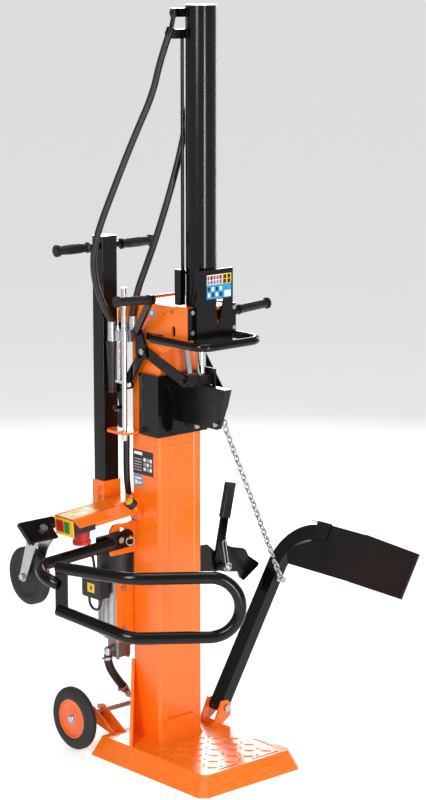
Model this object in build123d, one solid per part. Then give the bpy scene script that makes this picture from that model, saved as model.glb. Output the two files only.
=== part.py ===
from build123d import *

import os
from math import cos, hypot, pi, radians, sin, tan

# Vertical hydraulic log splitter.
# Millimetres. +Z is up, -Y is the working front, +X is the right-hand side seen from the front.
# The origin is on the floor under the centre of the column.

# ---------------------------------------------------------------- driving dimensions
TOTAL_HEIGHT = 2400.0

BASE_TOP = 63.0
BASE_HALF_BOTTOM, BASE_HALF_TOP = 214.0, 182.0
BASE_FRONT_BOTTOM, BASE_FRONT_TOP = -413.0, -387.0
BASE_REAR_BOTTOM, BASE_REAR_TOP = 132.0, 112.0
BASE_SHEET = 6.0

COLUMN_X, COLUMN_Y = 89.0, 66.0          # half width and half depth of the column
COLUMN_WALL = 6.0
COLUMN_TOP = 1478.0

CYLINDER_Y = -166.0
CYLINDER_R, CYLINDER_BORE = 48.0, 40.0
CYLINDER_BOTTOM = 1396.0
ROD_R = 14.0

HEAD_PLATE = 8.0                          # thickness of the head side plates
HEAD_FRONT = -213.0

CARRIAGE_BOTTOM, CARRIAGE_TOP = 1066.0, 1262.0
CARRIAGE_REAR = 13.0
CARRIAGE_PLATE = 10.0
PAD_THICK = 2.7
SLIDE_GAP = 0.3

WEDGE_HALF, WEDGE_EDGE = 14.0, 2.0
WEDGE_TOP, WEDGE_BOTTOM, WEDGE_FRONT = 1238.0, 1105.0, -291.0

LEVER_PIVOT = (-22.0, 1335.0)             # Y, Z of both hand lever pivots
LINK_PIN = (68.0, 1214.0)                 # Y, Z of the pin between lever and valve link

GUARD_PIVOT = (-157.0, 725.0)             # X, Z
GUARD_TUBE_R = 19.0
GUARD_Y = 34.5

LIFT_HINGE = (203.0, 112.0)               # X, Z
LIFT_ANGLE = 59.0                         # raised position, from the horizontal
LIFT_Y = -22.0                            # centre of the lifter tube
LIFT_TUBE_Y, LIFT_TUBE_T = 54.0, 38.0
LIFT_PIN_R = 8.0

LOCK_PIVOT = (262.0, 569.0)               # X, Z
LOCK_Y = 28.0

HANDLE_X, HANDLE_Y = -125.0, 150.0
HANDLE_TOP = 1683.0
HANDLE_BAR_Z = 1650.0

WHEEL_X, WHEEL_Y, WHEEL_R = 222.0, 206.0, 104.0
AXLE_Z = 107.0
WHEEL_WIDTH = 34.0
AXLE_R, RIM_R = 10.0, 64.0

CASTER_ORIGIN = (-424.0, 101.0, 791.0)
CASTER_TILT = 38.9                        # lean of the caster swivel axis, degrees
CASTER_R, CASTER_WIDTH = 92.0, 38.0
CASTER_AXLE = (-47.0, -164.0)             # Y, Z of the caster axle in the caster's own frame

MOTOR_X, MOTOR_Y = -90.0, 146.0
MOTOR_R = 62.0
MOTOR_BOTTOM, MOTOR_TOP = 385.0, 590.0
FAN_TOP = 668.0
PUMP_X, PUMP_BOTTOM = -82.0, 307.0
GEAR_TEETH, GEAR_CENTRES, GEAR_LOW, GEAR_WIDTH = 10, 18.0, 318.0, 30.0

HOSE_R, SUCTION_R, CABLE_R = 10.5, 14.0, 4.5
RUN_FIT = 0.05                            # radial clearance of pins that turn

ARM_DROOP = -4.2                          # the switch arm falls away from the column

MIN3 = (Align.CENTER, Align.CENTER, Align.MIN)


# ---------------------------------------------------------------- small helpers
def block(x0, x1, y0, y1, z0, z1):
    """Box between two opposite corners."""
    return Pos((x0 + x1) / 2, (y0 + y1) / 2, (z0 + z1) / 2) * Box(x1 - x0, y1 - y0, z1 - z0)


def rod(start, end, radius):
    """Round bar between two points."""
    axis = Vector(*end) - Vector(*start)
    return Plane(origin=start, z_dir=axis).location * Cylinder(radius, axis.length, align=MIN3)


def tube(start, end, outer, inner):
    """Round tube between two points."""
    return rod(start, end, outer) - rod(start, end, inner)


def along(start, end, distance):
    """Point at a distance from start towards end."""
    axis = (Vector(*end) - Vector(*start)).normalized()
    return tuple(Vector(*start) + axis * distance)


def side_plate(outline, x0, x1):
    """Plate from an outline of (Y, Z) points, between two X positions."""
    face = Plane(origin=(x0, 0, 0), x_dir=(0, 1, 0), z_dir=(1, 0, 0)) * make_face(Polyline(*outline, close=True))
    return extrude(face, amount=x1 - x0, dir=(1, 0, 0))


def front_plate(outline, y0, y1):
    """Plate from an outline of (X, Z) points, between two Y positions."""
    face = Plane(origin=(0, y0, 0), x_dir=(1, 0, 0), z_dir=(0, -1, 0)) * make_face(Polyline(*outline, close=True))
    return extrude(face, amount=y1 - y0, dir=(0, 1, 0))


def floor_plate(outline, z0, z1):
    """Plate from an outline of (X, Y) points, between two heights."""
    face = Plane(origin=(0, 0, z0)) * make_face(Polyline(*outline, close=True))
    return extrude(face, amount=z1 - z0, dir=(0, 0, 1))


def bar(start, end, width, x0, x1):
    """Flat bar with round ends between two (Y, Z) points, between two X positions."""
    run = hypot(end[0] - start[0], end[1] - start[1])
    plane = Plane(origin=(x0, *start), x_dir=(0, end[0] - start[0], end[1] - start[1]), z_dir=(1, 0, 0))
    shape = Pos(run / 2, 0, 0) * Rectangle(run, width) + Circle(width / 2) + Pos(run, 0, 0) * Circle(width / 2)
    return extrude(plane * shape, amount=x1 - x0, dir=(1, 0, 0))


def hex_head(at, direction, across, height):
    """Hexagon head standing on a point."""
    plane = Plane(origin=at, z_dir=direction)
    return extrude(plane * RegularPolygon(across / 2, 6, major_radius=False), amount=height, dir=direction)


def sweep_tube(points, radii, outer, inner=0.0):
    """Tube along straight runs joined by tangent arcs."""
    path = FilletPolyline(*points, radius=radii)
    plane = Plane(origin=points[0], z_dir=Vector(*points[1]) - Vector(*points[0]))
    section = Circle(outer) - Circle(inner) if inner else Circle(outer)
    return sweep(plane * section, path=path)


def route_radii(points):
    """Largest tangent arc at each corner of a hose route."""
    radii = []
    for before, here, after in zip(points, points[1:], points[2:]):
        one = Vector(*here) - Vector(*before)
        two = Vector(*after) - Vector(*here)
        turn = radians(one.get_angle(two))
        radii.append(0.45 * min(one.length, two.length) / tan(turn / 2))
    return radii


def hose(name, points, radius):
    """Hose along a route; prints how tight it bends and how well its volume agrees."""
    radii = route_radii(points)
    path = FilletPolyline(*points, radius=radii)
    solid = sweep_tube(points, radii, radius)
    expected = pi * radius ** 2 * path.length
    print(name, "length", round(path.length), "radii", [round(r) for r in radii],
          "volume ratio", round(solid.volume / expected, 4))
    return solid


def both_sides(shape):
    """A shape and its mirror image on the other side of the machine."""
    return [shape, mirror(shape, Plane.YZ)]


def group(*shapes):
    """Separate solids kept together in one node."""
    solids = []
    for shape in shapes:
        for piece in shape if isinstance(shape, (list, tuple)) else [shape]:
            solids += piece.solids()
    return Compound(children=solids)


# ---------------------------------------------------------------- base and column
def base_outline(half, front, rear, corner):
    return [(-half, rear), (-half, front + corner), (-half + corner, front),
            (half - corner, front), (half, front + corner), (half, rear)]


def base_tier(z, inset, corner, at_top):
    half = BASE_HALF_TOP if at_top else BASE_HALF_BOTTOM
    front = BASE_FRONT_TOP if at_top else BASE_FRONT_BOTTOM
    rear = BASE_REAR_TOP if at_top else BASE_REAR_BOTTOM
    outline = base_outline(half - inset, front + inset, rear - inset, corner)
    return Plane(origin=(0, 0, z)) * make_face(Polyline(*outline, close=True))


def base_plate():
    """Pressed base: a flat top with sloping skirts, open underneath."""
    skin = loft([base_tier(0, 0, 22, False), base_tier(BASE_TOP, 0, 14, True)])
    hollow = loft([base_tier(-1, BASE_SHEET, 20, False), base_tier(BASE_TOP - BASE_SHEET, BASE_SHEET, 12, True)])
    plate = skin - hollow
    for x0, x1, y0, y1 in ((-112, -30, -376, -369), (28, 140, -376, -369),
                           (-164, -157, -212, -118), (157, 164, -330, -236)):
        plate -= block(x0, x1, y0, y1, BASE_TOP - 10, BASE_TOP + 1)
    for side in (-1, 1):
        plate -= rod((side * 150, 88, 40), (side * 150, 88, 80), 6)
    return plate


def base_tread():
    """Raised lozenges that keep the log from slipping on the base."""
    lozenge = extrude(Ellipse(15, 3.4), amount=2.5)
    pieces = []
    for row in range(7):
        for column in range(7):
            x = -114 + 38 * column
            y = -344 + 38 * row
            turn = 45 if (row + column) % 2 else -45
            pieces.append(Pos(x, y, BASE_TOP) * Rot(0, 0, turn) * lozenge)
    return group(pieces)


def column():
    """Folded box column with a shallow recess down the front; it is also the oil tank."""
    outer = Box(2 * COLUMN_X, 2 * COLUMN_Y, COLUMN_TOP - BASE_TOP, align=MIN3)
    outer = fillet(outer.edges().filter_by(Axis.Z), 10)
    inner = Box(2 * (COLUMN_X - COLUMN_WALL), 2 * (COLUMN_Y - COLUMN_WALL), COLUMN_TOP, align=MIN3)
    recess = floor_plate([(-54, -67), (-48, -64), (56, -64), (62, -67)], BASE_TOP, COLUMN_TOP)
    return Pos(0, 0, BASE_TOP) * (outer - inner) - recess


def column_envelope():
    body = Box(2 * COLUMN_X, 2 * COLUMN_Y, COLUMN_TOP - BASE_TOP, align=MIN3)
    return Pos(0, 0, BASE_TOP) * fillet(body.edges().filter_by(Axis.Z), 10)


def gusset(side, reach, height):
    """Triangular stiffener running diagonally forwards from a rear corner of the column."""
    run = Vector(side * 93, -96, 0).normalized()
    plane = Plane(origin=(side * COLUMN_X, COLUMN_Y, 0), x_dir=run, z_dir=run.cross(Vector(0, 0, 1)))
    outline = make_face(Polyline((0, BASE_TOP), (reach, BASE_TOP), (reach, BASE_TOP + 6), (8, height),
                                 (0, height), close=True))
    return extrude(plane * outline, amount=5, both=True) - column_envelope()


def foot_plate():
    """Trapezoid doubler at the foot of the column's front face."""
    return front_plate([(-86, BASE_TOP), (86, BASE_TOP), (50, 136), (-53, 136)], -COLUMN_Y - 8, -COLUMN_Y)


def axle_brackets():
    """Open channels that carry the wheel axle behind the base."""
    flange = [(84, BASE_TOP), (112, BASE_TOP), (228, 88), (228, 124), (198, 132)]
    web = [(112, BASE_TOP), (228, 88), (228, 94), (112, BASE_TOP + 6)]
    pair = []
    for side in (-1, 1):
        middle = side * 128
        channel = side_plate(flange, middle - 24, middle - 18) + side_plate(flange, middle + 18, middle + 24)
        channel += side_plate(web, middle - 19, middle + 19)
        pair.append(channel - rod((middle - 40, WHEEL_Y, AXLE_Z), (middle + 40, WHEEL_Y, AXLE_Z), AXLE_R))
    return group(pair)


# ---------------------------------------------------------------- head and cylinder
def head_plates():
    """Side plates that reach forwards from the column and carry the cylinder."""
    outline = [(-45, 1488), (HEAD_FRONT, 1490), (HEAD_FRONT, 1392), (-75, 1326), (-40, 1322), (8, 1350),
               (12, 1412), (4, 1440)]
    plate = side_plate(outline, -COLUMN_X - HEAD_PLATE, -COLUMN_X)
    for y, z, radius in ((-143, 1472, 5), (-100, 1461, 4)):
        plate -= rod((-110, y, z), (-60, y, z), radius)
    plate -= rod((-110, -147, 1404), (-60, -147, 1404), 9)
    plate -= block(-110, -60, -156, -138, 1404, 1420)
    plate -= rod((-110, -147, 1420), (-60, -147, 1420), 9)
    plate -= rod((-110, *LEVER_PIVOT), (-60, *LEVER_PIVOT), 8)
    return group(both_sides(plate))


def head_shelves():
    """Two level plates between the side plates; the cylinder stands on one and passes the other."""
    lower = block(-COLUMN_X, COLUMN_X, HEAD_FRONT, -COLUMN_Y, 1384, CYLINDER_BOTTOM)
    lower -= rod((0, CYLINDER_Y, 1380), (0, CYLINDER_Y, 1400), ROD_R + 4)
    upper = block(-COLUMN_X, COLUMN_X, HEAD_FRONT, -COLUMN_Y, 1476, 1486)
    upper -= rod((0, CYLINDER_Y, 1470), (0, CYLINDER_Y, 1490), CYLINDER_R)
    cap = block(-COLUMN_X, COLUMN_X, -COLUMN_Y, COLUMN_Y, COLUMN_TOP, COLUMN_TOP + 8)
    cap += block(-40, 82, 50, 56, COLUMN_TOP + 8, COLUMN_TOP + 14)
    return group(lower, upper, cap)


def cylinder_bracket():
    """Folded black cover in front of the cylinder foot, with a V-shaped sight window."""
    front = front_plate([(-74, 1360), (74, 1360), (74, 1604), (-74, 1604)], -229, -224)
    front -= front_plate([(2, 1520), (40, 1518), (14, 1420)], -235, -218)
    cover = front
    for side in (-1, 1):
        x0, x1 = sorted((side * 68, side * 74))
        cover += side_plate([(-224.5, 1360), (-213, 1360), (-213, 1490), (-224.5, 1604)], x0, x1)
        x0, x1 = sorted((side * 68, side * 97))
        cover += block(x0, x1, -218, -213, 1392, 1490)
    return cover


def head_bolts():
    """Hexagon bolts of the cylinder bracket."""
    heads = [hex_head((side * 85, -218, z), (0, -1, 0), 13, 6) for side in (-1, 1) for z in (1415, 1478)]
    heads += [hex_head((side * 97, -143, 1472), (side, 0, 0), 10, 4) for side in (-1, 1)]
    return group(heads)


def upper_guard_ring():
    """Bent tube that keeps hands away from the rod."""
    path = [(-122, -72, 1383), (-122, -310, 1383), (122, -310, 1383), (122, -72, 1383)]
    ring = sweep_tube(path, [46, 46], 13, 10.5)
    for side in (-1, 1):
        x0, x1 = sorted((side * 97, side * 111))
        ring += block(x0, x1, -98, -74, 1371, 1395)
        x0, x1 = sorted((side * 97, side * 102))
        ring += block(x0, x1, -98, -24, 1372, 1394)
    return ring


def cylinder_tube():
    """Honed tube with its welded end collar."""
    shell = tube((0, CYLINDER_Y, CYLINDER_BOTTOM), (0, CYLINDER_Y, TOTAL_HEIGHT - 8), CYLINDER_R, CYLINDER_BORE)
    shell += tube((0, CYLINDER_Y, 1586), (0, CYLINDER_Y, 1594), CYLINDER_R + 2.5, CYLINDER_BORE)
    return shell


def cylinder_cap():
    """Welded blind end with a weld bead under its rim."""
    rim = rod((0, CYLINDER_Y, TOTAL_HEIGHT - 8), (0, CYLINDER_Y, TOTAL_HEIGHT), CYLINDER_R)
    plug = rod((0, CYLINDER_Y, TOTAL_HEIGHT - 28), (0, CYLINDER_Y, TOTAL_HEIGHT - 8), CYLINDER_BORE)
    return rim + plug


def cylinder_gland():
    """Guide and seal carrier for the rod."""
    return tube((0, CYLINDER_Y, CYLINDER_BOTTOM), (0, CYLINDER_Y, CYLINDER_BOTTOM + 44), CYLINDER_BORE, ROD_R + RUN_FIT)


def port_blocks():
    """Welded port blocks, banjo fittings and hose ferrules on the cylinder."""
    skin = rod((0, CYLINDER_Y, 2200), (0, CYLINDER_Y, 2399), CYLINDER_R)
    upper = block(-66, -36, -146, -118, 2364, 2390) - skin
    upper += rod((-66, -130, 2377), (-88, -130, 2377), 8) + rod((-78, -130, 2364), (-78, -130, 2390), 11)
    upper += rod((-78, -130, 2366), HOSE_ONE[0], 7)
    lower = block(-88, -36, -146, -118, 2300, 2328) - skin
    rear = block(10, 40, -128, -104, 2306, 2334) - skin
    rear += rod((25, -116, 2320), (25, -99.5, 2320), 9) + rod((25, -99.5, 2324), HOSE_TWO[0], 9)
    ferrules = [tube(along(route[0], route[1], 0.5), along(route[0], route[1], 26), HOSE_R + 2.5, HOSE_R)
                for route in (HOSE_ONE, HOSE_TWO)]
    return group(upper, lower, rear, ferrules)


def steel_pipe():
    """Thin pressure pipe down the side of the cylinder."""
    return rod((-46, -132, 1600), (-46, -132, 2300), 5.5)


def manifold_block():
    """Square block where the pipe meets the valve gallery."""
    body = fillet(block(-70, -44, -146, -120, 1490, 1600).edges().filter_by(Axis.Z), 2)
    return body - rod((0, CYLINDER_Y, 1480), (0, CYLINDER_Y, 1610), CYLINDER_R + 3)


# ---------------------------------------------------------------- ram, carriage and wedge
def piston_rod():
    """Chromed rod with a wrench ring near its lower end."""
    return rod((0, CYLINDER_Y, 1272), (0, CYLINDER_Y, 2330), ROD_R)


def piston():
    """Piston on the top of the rod, with its seal groove."""
    body = rod((0, CYLINDER_Y, 2322), (0, CYLINDER_Y, 2352), CYLINDER_BORE - RUN_FIT)
    body -= rod((0, CYLINDER_Y, 2322), (0, CYLINDER_Y, 2330), ROD_R)
    groove = tube((0, CYLINDER_Y, 2334), (0, CYLINDER_Y, 2340), CYLINDER_BORE, CYLINDER_BORE - 4)
    return body - groove


def carriage():
    """Black U-shaped carriage that slides down the column."""
    inner = COLUMN_X + SLIDE_GAP + PAD_THICK
    front = -COLUMN_Y - SLIDE_GAP - PAD_THICK
    outer = inner + CARRIAGE_PLATE
    shell = floor_plate([(-outer, CARRIAGE_REAR), (-outer, front - CARRIAGE_PLATE), (outer, front - CARRIAGE_PLATE),
                         (outer, CARRIAGE_REAR), (inner, CARRIAGE_REAR), (inner, front), (-inner, front),
                         (-inner, CARRIAGE_REAR)], CARRIAGE_BOTTOM, CARRIAGE_TOP)
    for side in (-1, 1):
        x0, x1 = sorted((side * 60, side * 66))
        shell += side_plate([(front - CARRIAGE_PLATE, 1082), (front - CARRIAGE_PLATE - 26, 1096),
                             (front - CARRIAGE_PLATE - 26, 1200), (front - CARRIAGE_PLATE, 1230)], x0, x1)
    return shell


def slide_pads():
    """Plastic wear pads between the carriage and the column."""
    pads = []
    for z in (CARRIAGE_BOTTOM + 12, CARRIAGE_TOP - 62):
        pads.append(block(-64, -56.0, -COLUMN_Y - SLIDE_GAP - PAD_THICK, -COLUMN_Y - SLIDE_GAP, z, z + 50))
        pads.append(block(64, 74, -COLUMN_Y - SLIDE_GAP - PAD_THICK, -COLUMN_Y - SLIDE_GAP, z, z + 50))
        side = block(-COLUMN_X - SLIDE_GAP - PAD_THICK, -COLUMN_X - SLIDE_GAP, -52, 8, z, z + 50)
        pads += both_sides(side)
    return group(pads)


def wedge():
    """Splitting wedge: a blade in the centre plane, sharpened along its lower edge."""
    rear = -COLUMN_Y - SLIDE_GAP - PAD_THICK - CARRIAGE_PLATE
    blade = side_plate([(rear, WEDGE_TOP), (WEDGE_FRONT, WEDGE_TOP), (WEDGE_FRONT + 22, 1165),
                        (WEDGE_FRONT + 34, WEDGE_BOTTOM + 6), (WEDGE_FRONT + 50, WEDGE_BOTTOM),
                        (rear, WEDGE_BOTTOM)], -WEDGE_HALF, WEDGE_HALF)
    for side in (-1, 1):
        flank = front_plate([(side * WEDGE_EDGE, WEDGE_BOTTOM - 1), (side * (WEDGE_HALF + 1), WEDGE_BOTTOM - 1),
                             (side * (WEDGE_HALF + 1), WEDGE_BOTTOM + 84)], WEDGE_FRONT - 2, rear)
        blade -= flank
    blade -= rod((20, -248, 1124), (-20, -248, 1124), 5)
    return blade


def rod_clevis():
    """Block that joins the rod to the top of the wedge, with its cross pin."""
    body = block(-24, 20, -190, -142, WEDGE_TOP, 1272)
    ear = block(20, 26, -206, -158, WEDGE_TOP, 1290)
    pin = rod((-34, CYLINDER_Y, 1256), (-24, CYLINDER_Y, 1256), 9)
    return group(body + ear + pin)


def trip_strips():
    """Flat bar on the carriage that resets the hand levers at the top of the stroke."""
    strip = front_plate([(29, 1082), (47, 1082), (4, 1338), (-13, 1338)], -104, -99)
    return strip + block(30, 44, -99, -79, 1084, 1100)


def chain_eye():
    """Welded eye on the wedge that takes the lifter chain."""
    ring = Plane(origin=(24, -248, 1124), z_dir=(0, 1, 0)).location * Torus(9, 3)
    shank = rod((-18, -248, 1124), (16, -248, 1124), 4.9)
    return ring + shank + hex_head((-14, -248, 1124), (-1, 0, 0), 13, 5)


# ---------------------------------------------------------------- hand levers and valve
GRIP_X, GRIP_Y, GRIP_RISE = (176.0, 311.0), -132.0, 8.0
GRIP_Z = {-1: 1517.0, 1: 1448.0}           # the right lever hangs lower
CLAW_END = {-1: (-208.0, 1266.0), 1: (-138.0, 1192.0)}
LEVER_KNEE = (126.0, -2.0, 1396.0)


def lever_frame(side):
    """Hand lever: bar to the grip, rocker on the pivot and the claw arm that holds the log."""
    inner, outer = sorted((side * 104.3, side * 110.3))
    rocker_in, rocker_out = sorted((side * 110.3, side * 116.3))
    claw = bar(LEVER_PIVOT, CLAW_END[side], 34, inner, outer)
    rocker = side_plate([(-40, 1318), (-6, 1300), (14, 1322), (12, 1398), (-14, 1404), (-34, 1350)],
                        rocker_in, rocker_out)
    slot_end = (LINK_PIN[0] - 27, LINK_PIN[1] + 7)
    if side < 0:
        rocker += bar((0, 1306), LINK_PIN, 30, rocker_in, rocker_out)
        rocker += bar(slot_end, LINK_PIN, 26, rocker_in, rocker_out)
    knee = rod((side * 112, -2, 1394), (side * 132, -2, 1394), 10)
    foot = (side * LEVER_KNEE[0], *LEVER_KNEE[1:])
    head = (side * GRIP_X[0], GRIP_Y, GRIP_Z[side])
    run = Vector(*head) - Vector(*foot)
    strap = extrude(Plane(origin=foot, x_dir=(1, 0, 0), z_dir=run) * Rectangle(9, 24), amount=run.length, dir=run)
    handle = rod(head, (side * (GRIP_X[1] - 6), GRIP_Y, GRIP_Z[side] + GRIP_RISE), 8)
    knuckle = rod((side * (GRIP_X[0] - 10), GRIP_Y, GRIP_Z[side]), (side * (GRIP_X[0] + 2), GRIP_Y, GRIP_Z[side]), 15)
    shape = claw + rocker + knee + strap + handle + knuckle
    shape -= rod((side * 100, *LEVER_PIVOT), (side * 120, *LEVER_PIVOT), 8 + RUN_FIT)
    if side < 0:
        shape -= bar(LINK_PIN, slot_end, 13.6, rocker_in - 1, rocker_out + 1)
    shape += hex_head((outer if side > 0 else inner, *CLAW_END[side]), (side, 0, 0), 14, 6)
    return shape + hex_head((rocker_out if side > 0 else rocker_in, -3, 1318), (side, 0, 0), 14, 6)


def lever_claw(side):
    """Toothed claw on the end of the claw arm."""
    y, z = CLAW_END[side]
    tip, root = side * 58, side * 104.3
    teeth = [(root, z - 16), (root, z + 20)]
    for step in range(4):
        teeth += [(tip + side * 8, z + 20 - 12 * step), (tip, z + 14 - 12 * step)]
    return front_plate(teeth, y - 14, y + 8)


def lever_grip(side):
    """Rubber grip with a flange at the outer end."""
    inner = (side * (GRIP_X[0] + 7), GRIP_Y, GRIP_Z[side] + 0.5)
    outer = (side * GRIP_X[1], GRIP_Y, GRIP_Z[side] + GRIP_RISE)
    body = rod(inner, outer, 14)
    body += rod(along(outer, inner, 7), outer, 18) + rod(inner, along(inner, outer, 6), 16)
    return body - rod(inner, along(outer, inner, 5), 8)


def lever_pivots():
    """Pivot pins welded to the head, with their heads outside the levers."""
    pins = []
    for side in (-1, 1):
        pin = rod((side * 89, *LEVER_PIVOT), (side * 117, *LEVER_PIVOT), 8)
        pins.append(pin + hex_head((side * 117, *LEVER_PIVOT), (side, 0, 0), 19, 6))
    return group(pins)


VALVE_X = -133.0
LONG_ROD_Y, SPOOL_Y = 47.0, 73.0
VALVE_ROD_R = 8.5
BOOT = (-140.0, 100.5)


def valve_bracket():
    """Orange plate beside the head that carries the valve."""
    return side_plate([(12.3, 1478), (96, 1478), (120, 1446), (120, 1412), (12.3, 1412)],
                      -COLUMN_X - HEAD_PLATE, -COLUMN_X)


def link_shelf():
    """Rounded shelf on the column that guides the long rod."""
    shelf = floor_plate([(-COLUMN_X, 18), (-146, 18), (-158, 32), (-158, 104), (-146, 120), (-98, 120),
                         (-COLUMN_X, 64)], 1066, 1074)
    return shelf - rod((VALVE_X, LONG_ROD_Y, 1060), (VALVE_X, LONG_ROD_Y, 1080), VALVE_ROD_R + RUN_FIT)


def valve_block():
    """Cast control valve; its bosses guide the long rod and the spool."""
    body = fillet(block(-122, -COLUMN_X - HEAD_PLATE - 0.5, 28, 112, 1358, 1398).edges().filter_by(Axis.X), 5)
    body += block(-COLUMN_X - HEAD_PLATE - 6, -COLUMN_X - HEAD_PLATE, 56, 112, 1396, 1412)
    for y in (LONG_ROD_Y, SPOOL_Y):
        body += rod((VALVE_X, y, 1360), (VALVE_X, y, 1392), 12.5)
        body -= rod((VALVE_X, y, 1350), (VALVE_X, y, 1430), VALVE_ROD_R + RUN_FIT)
    return body + rod((*BOOT, 1356), (*BOOT, 1376), 13)


def valve_fittings():
    """Bright nuts where the hoses screw into the valve."""
    one = rod((*BOOT, 1376), HOSE_ONE[-1], 12.5)
    two = rod((-110.5, 33, 1398), HOSE_TWO[-1], 12)
    return group(one, two)


def valve_boot():
    """Tapered rubber boot under the valve, with a clamp ring at each end."""
    cone = Pos(*BOOT, 1200) * Cone(10, 16.5, 140, align=MIN3)
    cone += Pos(*BOOT, 1340) * Cylinder(17.5, 16, align=MIN3)
    return cone + Pos(*BOOT, 1192) * Cylinder(12, 8, align=MIN3)


def valve_rods():
    """Chromed long rod and spool, joined at the foot by a yoke."""
    long_rod = rod((VALVE_X, LONG_ROD_Y, 1044), (VALVE_X, LONG_ROD_Y, 1530), VALVE_ROD_R)
    spool = rod((VALVE_X, SPOOL_Y, 1232), (VALVE_X, SPOOL_Y, 1398), VALVE_ROD_R)
    return long_rod + spool + block(-141, -119, 40, 82, 1226, 1234)


def valve_link():
    """Waisted plate that the left lever lifts to move the spool."""
    plate = side_plate([(62, 1226), (84, 1226), (90, 1200), (80, 1150), (90, 1104), (82, 1079), (64, 1079), (62, 1104)],
                       -129, -121)
    plate += rod((-121, *LINK_PIN), (-109, *LINK_PIN), 5) + block(-129, -121, 62, 76, 1200, 1226)
    return plate + rod((-129, 78, 1146), (-142, 78, 1146), 6) + hex_head((-142, 78, 1146), (-1, 0, 0), 19, 7)


# ---------------------------------------------------------------- routes of the hoses and leads
HOSE_ONE = [(-80, -122, 2334), (-97, -92, 2240), (-104, -62, 2130), (-140, -22, 2010), (-182, 22, 1860),
            (-226, 70, 1690), (-224, 88, 1590), (-188, 97, 1492), (-140, 100.5, 1418)]
HOSE_TWO = [(25, -99.5, 2306), (22, -98, 2206), (10, -96, 2085), (-16, -90, 1955), (-48, -68, 1812),
            (-72, -34, 1680), (-90, -6, 1590), (-107, 16, 1515), (-110.5, 33, 1440)]
HOSE_PRESSURE = [(-77, 106, 1052), (-78, 107, 975), (-77, 106, 885), (-58, 108, 795), (-20, 112, 712),
                 (-8, 116, 610), (-8, 122, 500), (-11, 133, 425), (-20, 146, 356)]
HOSE_SUCTION = [(-133, 143, 318), (-131, 143, 293), (-120, 142, 264), (-102, 140, 236), (-84, 137, 211),
                (-69, 133, 190)]
LEAD_SWITCH = [(-286, 40, 791), (-284, 46, 768), (-272, 62, 742), (-250, 84, 712), (-222, 112, 682),
               (-194, 136, 652), (-181, 146, 612)]
LEAD_LOOP = [(-180, 176, 516), (-180, 176, 502), (-180, 170, 488), (-180, 157, 479), (-180, 139, 478),
             (-180, 126, 486), (-180, 119, 501), (-180, 118.5, 516)]


# ---------------------------------------------------------------- motor and pump
def motor_body():
    """Finned aluminium motor case with end shields and mounting feet."""
    case = rod((MOTOR_X, MOTOR_Y, MOTOR_BOTTOM + 14), (MOTOR_X, MOTOR_Y, MOTOR_TOP - 10), MOTOR_R - 6)
    case += rod((MOTOR_X, MOTOR_Y, MOTOR_BOTTOM), (MOTOR_X, MOTOR_Y, MOTOR_BOTTOM + 14), MOTOR_R)
    case += rod((MOTOR_X, MOTOR_Y, MOTOR_TOP - 10), (MOTOR_X, MOTOR_Y, MOTOR_TOP), MOTOR_R)
    fin = block(MOTOR_R - 8, MOTOR_R, -1.5, 1.5, MOTOR_BOTTOM + 10, MOTOR_TOP - 8)
    for turn in range(0, 360, 20):
        case += Pos(MOTOR_X, MOTOR_Y, 0) * Rot(0, 0, turn) * fin
    case += block(MOTOR_X - 40, MOTOR_X + 8, 72, MOTOR_Y - 50, 420, 560)
    case -= rod((MOTOR_X, MOTOR_Y, MOTOR_BOTTOM - 1), (MOTOR_X, MOTOR_Y, MOTOR_TOP + 1), 8 + RUN_FIT)
    case -= rod((MOTOR_X, MOTOR_Y, MOTOR_BOTTOM + 20), (MOTOR_X, MOTOR_Y, MOTOR_TOP - 16), 46)
    return case


def fan_cover():
    """Pressed fan cowl with slots in its end."""
    cowl = rod((MOTOR_X, MOTOR_Y, MOTOR_TOP), (MOTOR_X, MOTOR_Y, FAN_TOP), MOTOR_R + 2)
    cowl = fillet(cowl.edges().group_by(Axis.Z)[-1], 8)
    cowl -= rod((MOTOR_X, MOTOR_Y, MOTOR_TOP - 1), (MOTOR_X, MOTOR_Y, FAN_TOP - 3), MOTOR_R - 1)
    for row in range(-3, 4):
        half = (44 ** 2 - (13 * row) ** 2) ** 0.5
        cowl -= block(MOTOR_X - half, MOTOR_X + half, MOTOR_Y + 13 * row - 3, MOTOR_Y + 13 * row + 3, FAN_TOP - 5, FAN_TOP + 1)
    return cowl


def motor_shaft():
    """Rotor and shaft."""
    shaft = rod((MOTOR_X, MOTOR_Y, GEAR_LOW + GEAR_WIDTH), (MOTOR_X, MOTOR_Y, 646), 8)
    return shaft + rod((MOTOR_X, MOTOR_Y, 428), (MOTOR_X, MOTOR_Y, 552), 44)


def motor_fan():
    """Cooling fan on the top of the shaft."""
    hub = rod((MOTOR_X, MOTOR_Y, 612), (MOTOR_X, MOTOR_Y, 640), 14) - rod((MOTOR_X, MOTOR_Y, 600), (MOTOR_X, MOTOR_Y, 650), 8)
    blade = block(13, 52, -1.5, 1.5, 614, 638)
    for turn in range(0, 360, 45):
        hub += Pos(MOTOR_X, MOTOR_Y, 0) * Rot(0, 0, turn) * blade
    return hub


def terminal_box():
    """Terminal box on the side of the motor, with a gland on top and two below."""
    box = fillet(block(-200, -160, 96, 188, 522, 600).edges().filter_by(Axis.X), 8)
    box += block(-161, -140, 112, 172, 530, 582) - rod((MOTOR_X, MOTOR_Y, 500), (MOTOR_X, MOTOR_Y, 600), MOTOR_R)
    box += rod((-181, 146, 599), (-181, 146, 612), 8)
    for y in (176, 118.5):
        box += rod((-180, y, 516), (-180, y, 523), 8)
    return box


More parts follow.
